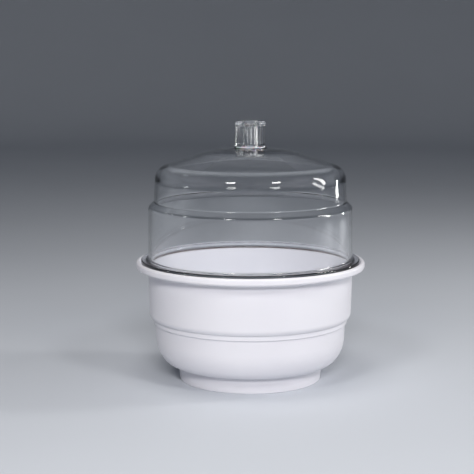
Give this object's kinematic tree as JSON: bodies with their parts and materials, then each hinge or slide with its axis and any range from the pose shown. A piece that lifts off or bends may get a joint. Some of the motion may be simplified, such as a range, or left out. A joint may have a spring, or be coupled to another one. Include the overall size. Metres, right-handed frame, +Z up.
{
  "type": "laboratory desiccator",
  "caption": "Round laboratory desiccator: opaque white bowl on a foot ring, clear domed lid with a ribbed screw-in knob, seal ring, perforated plate and a bed of silica gel.",
  "frame": {"origin": "centre of the foot ring, on the surface that it stands on", "axes": "+Z up along the axis that all round pieces share; X and Y are alike, and a spoke of the plate lies along +X"},
  "size_m": [0.2282, 0.2282, 0.2596],
  "materials": {
    "white_polypropylene": "smooth satin moulding, opaque white with a faint cool tint",
    "clear_polycarbonate": "clear, polished moulding",
    "seal_rubber": "dark brown, satin",
    "washer_silicone": "milky translucent silicone",
    "plate_polypropylene": "white, matt",
    "silica_gel": "blue glassy beads"
  },
  "bodies": {
    "base": {"base_bowl": "white_polypropylene", "silica_gel": "silica_gel"},
    "seal": {"sealing_ring": "seal_rubber"},
    "lid": {"lid_dome": "clear_polycarbonate"},
    "washer": {"knob_seal": "washer_silicone"},
    "knob": {"lid_knob": "clear_polycarbonate"},
    "plate": {"perforated_plate": "plate_polypropylene"}
  },
  "joints": [
    {"name": "lid_turn", "type": "hinge", "parent": "base", "child": "seal", "pos_m": [0, 0, 0.1163], "axis": [0, 0, 1], "continuous": true},
    {"name": "lid_lift", "type": "slide", "parent": "seal", "child": "lid", "axis": [0, 0, 1], "range_m": [0, 0.16]},
    {"name": "knob_rise", "type": "slide", "parent": "lid", "child": "washer", "axis": [0, 0, 1], "range_m": [0, 0.00901]},
    {"name": "knob_unscrew", "type": "hinge", "parent": "washer", "child": "knob", "pos_m": [0, 0, 0.2324], "axis": [0, 0, 1], "range_deg": [0, 1080]},
    {"name": "plate_lift", "type": "slide", "parent": "base", "child": "plate", "axis": [0, 0, 1], "range_m": [0, 0.07]}
  ],
  "couplings": [
    {"joint": "knob_rise", "follows": "knob_unscrew", "m_per_rad": 0.00047746}
  ]
}
